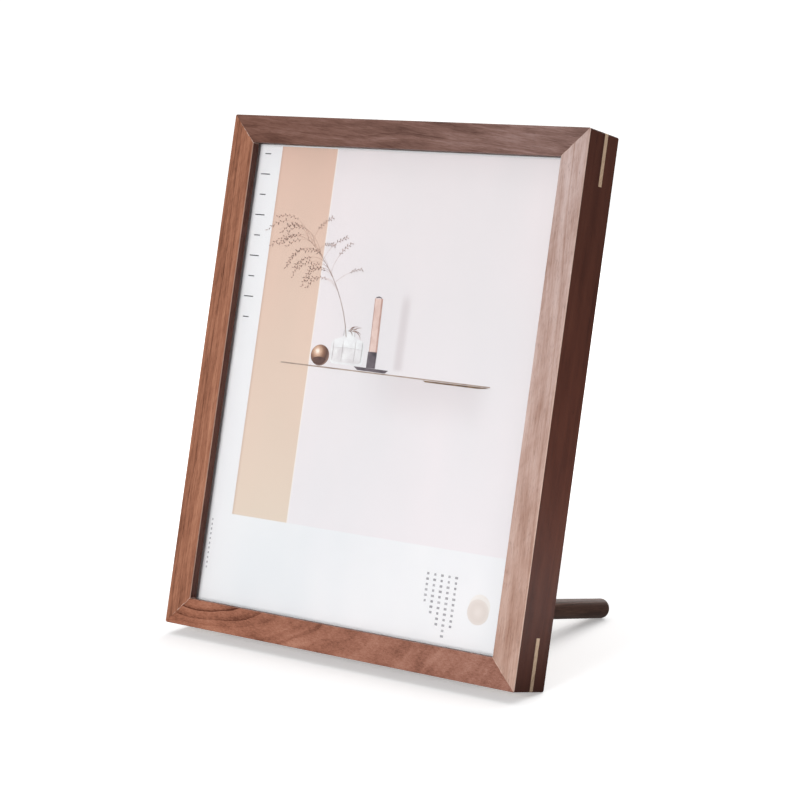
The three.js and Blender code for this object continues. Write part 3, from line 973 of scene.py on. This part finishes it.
def make_print_marks():
    """Plain dots and bars in place of a caption, and a pale round stamp. None of them is lettering."""
    dice = random.Random(3)
    dots = []
    for column in range(5):
        for row in range(12 - 2 * abs(column - 3)):
            dots.append(bar(49.0 + 4.4 * column, 50.0 - 2.75 * row, dice.uniform(0.6, 0.95), 0.6))
    for row in range(11):
        dots.append(bar(-96.8, 59.0 - 2.6 * row, 0.4, 0.55))
    caption_ink = ink("ink_caption", (150, 148, 152), (190, 188, 192))
    print_piece("print_caption", [layer(dot, 1) for dot in dots], caption_ink)
    strokes = []
    for row in range(9):
        strokes.append(bar(-93.6, 260.275 - 11.2 * row, 3.2 if row % 2 else 2.0, 0.275))
    bar_ink = ink("ink_bars", (58, 58, 64), (84, 84, 90))
    print_piece("print_margin_bars", [layer(stroke, 1) for stroke in strokes], bar_ink)
    shades = [(0.1, (232, 222, 217)), (0.6, (224, 213, 207)), (0.95, (230, 221, 216))]
    stamp = shaded_ink("ink_stamp", shades, (82.0, 35.0), 7.0)
    print_piece("print_stamp", [layer(ellipse(82.0, 35.0, 6.5, 6.5), 1)], stamp)
    faint_ink = ink("ink_ring", (234, 228, 224), (240, 235, 232))
    print_piece("print_stamp_shadow", [layer(ellipse(82.6, 37.6, 6.4, 6.4), 0.6)], faint_ink)


# ---------------- the glazing, print and backing


def make_picture():
    sheet = ease_edges(board(GLAZING_LOW, GLAZING_HIGH, GLAZING_CORNER), GLAZING_EASE)
    piece("glazing", sheet, clear_glazing(), "frame", stands_for=["glazing"])
    paper = board(PRINT_LOW, PRINT_HIGH, PRINT_CORNER)
    piece("art_print", paper, print_paper(), "frame", stands_for=["art_print"])
    make_shelf()
    make_ball()
    make_flask()
    make_candle()
    make_dry_grass()
    make_print_marks()
    card = ease_edges(board(*upright_box("backing_card"), CARD_CORNER), CARD_EASE)
    piece("backing_card", card, grey_card(), "frame", stands_for=["backing_card"])


# ---------------- the back, leg and turn buttons


def leg_place():
    """The leg's place in the upright frame, its axis along Y, with its radius and ends along that axis."""
    axis = Vector(next(j for j in frame["joints"] if j["child"] == "leg")["axis"]).normalized()
    turn = Matrix((ACROSS, axis, ACROSS.cross(axis))).transposed()
    points = [turn.transposed() @ v.co for v in frame["nodes"]["leg"].data.vertices]
    low = Vector(min(p[i] for p in points) for i in range(3))
    high = Vector(max(p[i] for p in points) for i in range(3))
    middle = (low + high) / 2
    centre = turn @ Vector((middle.x, 0, middle.z))
    world = Matrix.Translation(centre) @ turn.to_4x4()
    return STAND.inverted() @ world, (high.x - low.x) / 2, low.y, high.y


def arc_profile(radius, start, end, ease):
    """A rod's profile from one flat end to the other with both rims rounded."""
    quarter = [math.pi / 2 * k / LEG_RIM_STEPS for k in range(LEG_RIM_STEPS + 1)]
    near = [(radius - ease + ease * math.sin(a), start + ease - ease * math.cos(a)) for a in quarter]
    far = [(radius - ease + ease * math.cos(a), end - ease + ease * math.sin(a)) for a in quarter]
    return near + far


def bore(place, radius, start, end):
    cutter = cylinder_y(radius + BORE_CLEARANCE, start - BORE_END_GAP, end)
    cutter.transform(place)
    return cutter


def make_back_and_leg():
    place, radius, start, end = leg_place()
    panel = cut(board(PANEL_LOW, PANEL_HIGH, PANEL_CORNER), [bore(place, radius, start, end)])
    lying = Matrix.Rotation(-math.pi / 2, 4, "Y")
    piece("back_panel", ease_edges(panel, PANEL_EASE), back_veneer(), "frame", grain=lying,
          stands_for=["back_panel"])
    block = cut(board(BLOCK_LOW, BLOCK_HIGH, BLOCK_CORNER), [bore(place, radius, start, end)])
    piece("leg_block", ease_edges(block, BLOCK_EASE), block_walnut(), "frame", stands_for=["leg_block"])
    pine = spacer_pine()
    for side in ("top", "bottom", "left", "right"):
        name = f"spacer_{side}"
        strip = ease_edges(board(*upright_box(name), SPACER_CORNER), SPACER_EASE)
        grain = UNMOVED if side in ("top", "bottom") else lying
        piece(name, strip, pine, "frame", grain=grain, stands_for=[name])
    rod = turned(arc_profile(radius, start, end, LEG_RIM), segments=96)
    along_leg = Matrix.Rotation(-math.pi / 2, 4, "Z")
    piece("leg", rod, leg_walnut(), "leg", place, grain=along_leg, stands_for=["leg"])


def make_buttons():
    button_brass = brushed_metal("button_brass", srgb(190, 144, 80), srgb(228, 188, 118), 0.32)
    screw_brass = brushed_metal("screw_brass", srgb(176, 130, 70), srgb(216, 174, 104), 0.28)
    dice = random.Random(5)
    for place in BUTTON_PLACES:
        pivot = pivot_of(place)
        low, high = upright_box(f"turn_button_{place}")
        middle = (low + high) / 2
        turn = math.atan2(-(middle.z - pivot.z), middle.x - pivot.x)
        at_pivot = Matrix.Translation((pivot.x, 0, pivot.z))
        spin = at_pivot @ Matrix.Rotation(turn, 4, "Y")
        body = f"{place}_button"
        piece(f"turn_button_{place}", button_solid(low, high), button_brass, body, spin,
              stands_for=[f"turn_button_{place}"])
        low, high = upright_box(f"screw_{place}")
        driven = at_pivot @ Matrix.Rotation(dice.uniform(0, math.pi), 4, "Y")
        piece(f"screw_{place}", screw_solid(high.x - low.x, low.y, high.y), screw_brass, "frame", driven,
              stands_for=[f"screw_{place}"])


def button_solid(low, high):
    """A flat button that reaches along +X from its screw hole, both ends round and its edges softened."""
    size = high - low
    width = min(size.x, size.z)
    reach = max(size.x, size.z) - width / 2
    half = width / 2
    corners = [(-half, -half, half), (reach, -half, half), (reach, half, half), (-half, half, half)]
    outline = rounded_outline(corners, steps=12)
    hole = cylinder_y(BUTTON_HOLE_RADIUS, low.y - OVERSHOOT, high.y + OVERSHOOT, segments=40)
    return ease_edges(cut(prism(outline, low.y, high.y), [hole]), BUTTON_EASE, segments=3)


def screw_solid(width, point, top):
    """A domed screw along Y, from its point to the top of its head, with a tapered cross recess."""
    head = width / 2
    rim = top - SCREW_HEAD_HEIGHT
    profile = [
        (SCREW_TIP_RADIUS, point), (SCREW_RADIUS, point + 3 * SCREW_RADIUS), (SCREW_RADIUS, rim),
        (head - EASE / 2, rim),
    ]
    dome_foot = rim + SCREW_RIM_HEIGHT
    for step in range(SCREW_DOME_STEPS):
        # The last step stops short of the axis, because turned() needs an end off it.
        turn = math.pi / 2 * step / (SCREW_DOME_STEPS - 0.5)
        profile.append((head * math.cos(turn), dome_foot + (top - dome_foot) * math.sin(turn)))
    recess = lofted([
        cross_ring(0.65 * RECESS_SPAN, 0.6 * RECESS_WIDTH, top - RECESS_DEPTH),
        cross_ring(1.4 * RECESS_SPAN, 1.2 * RECESS_WIDTH, top + RECESS_DEPTH),
    ])
    return cut(turned(profile), [recess])


def cross_ring(span, width, depth):
    """The outline of a cross, square on to Y at that depth."""
    arm = [(span / 2, -width / 2), (span / 2, width / 2), (width / 2, width / 2)]
    ring = []
    for quarter in range(4):
        turn = Matrix.Rotation(quarter * math.pi / 2, 2)
        ring.extend(turn @ Vector(point) for point in arm)
    return [Vector((p.x, depth, p.y)) for p in ring]


# ---------------- the table, light and camera


def pale_table():
    """A matt white table top with a very faint mottle. It glows as painted light, more strongly far from
    the frame than near it.
    """
    m = Nodes("pale_table")
    at = m.node("TexCoord").outputs["Object"]
    mottle = m.noise(m.moved(at, (3.0, 3.0, 3.0)), detail=3.0)
    colour = m.ramp(mottle, [(0.3, srgb(238, 238, 238)), (0.7, srgb(243, 243, 243))])
    away = m.node("VectorMath", {0: at}, operation="LENGTH").outputs["Value"]
    return m.surface(
        Base_Color=colour,
        Roughness=0.9,
        Specular_IOR_Level=0.0,
        Emission_Color=colour,
        Emission_Strength=m.between(away, NEAR_TABLE, FAR_TABLE, NEAR_GLOW, FAR_GLOW),
    )


def make_stage():
    bm = bmesh.new()
    bmesh.ops.create_circle(bm, cap_ends=True, radius=TABLE_RADIUS, segments=96)
    table = bpy.data.objects.new("table_top", to_mesh(bm, "table_top"))
    table.data.materials.append(pale_table())
    table.visible_diffuse = False
    table.visible_glossy = False
    bpy.context.scene.collection.objects.link(table)


def aimed(name, data, place, target):
    made = bpy.data.objects.new(name, data)
    made.location = place
    made.rotation_euler = (Vector(target) - Vector(place)).to_track_quat("-Z", "Y").to_euler()
    bpy.context.scene.collection.objects.link(made)
    return made


def make_room():
    """A room that is white to the camera and dimmer as a light."""
    world = bpy.data.worlds.new("studio")
    world.use_nodes = True
    tree = world.node_tree
    tree.nodes.clear()
    seen = tree.nodes.new("ShaderNodeLightPath").outputs["Is Camera Ray"]
    strength = tree.nodes.new("ShaderNodeMapRange")
    tree.links.new(seen, strength.inputs["Value"])
    strength.inputs["To Min"].default_value = ROOM_LIGHT
    strength.inputs["To Max"].default_value = 1.0
    background = tree.nodes.new("ShaderNodeBackground")
    background.inputs["Color"].default_value = WHITE
    tree.links.new(strength.outputs["Result"], background.inputs["Strength"])
    output = tree.nodes.new("ShaderNodeOutputWorld")
    tree.links.new(background.outputs["Background"], output.inputs["Surface"])
    bpy.context.scene.world = world
    bpy.context.scene.view_settings.view_transform = "Standard"


def make_lamps():
    """A broad overhead light and the soft boxes, which the camera doesn't see."""
    overhead = bpy.data.lights.new("overhead", "SUN")
    overhead.energy = OVERHEAD_POWER
    overhead.angle = OVERHEAD_SPREAD
    aimed("overhead", overhead, OVERHEAD_FROM, (0, 0, 0))
    for name, place, target, size, power in SOFT_BOXES:
        soft_box = bpy.data.lights.new(name, "AREA")
        soft_box.size = size
        soft_box.energy = power
        lamp = aimed(name, soft_box, place, target)
        lamp.visible_camera = False
        # Seen from the front, the key's reflection in the leaning glazing would hide the print.
        lamp.visible_glossy = name != "key"


def make_camera():
    foot = STAND @ Vector((0, 0, 0))
    aim = foot + Vector((0, AIM_BEHIND_FOOT, AIM_HEIGHT))
    level = Vector((math.sin(CAMERA_AZIMUTH), -math.cos(CAMERA_AZIMUTH), math.tan(CAMERA_ELEVATION)))
    data = bpy.data.cameras.new("camera")
    data.lens = CAMERA_LENS
    data.sensor_width = CAMERA_SENSOR
    data.clip_end = 2 * TABLE_RADIUS
    camera = aimed("camera", data, aim + level.normalized() * CAMERA_DISTANCE, aim)
    bpy.context.scene.camera = camera


make_camera()
make_stage()
make_room()
make_lamps()
make_members()
make_keys()
make_picture()
make_back_and_leg()
make_buttons()
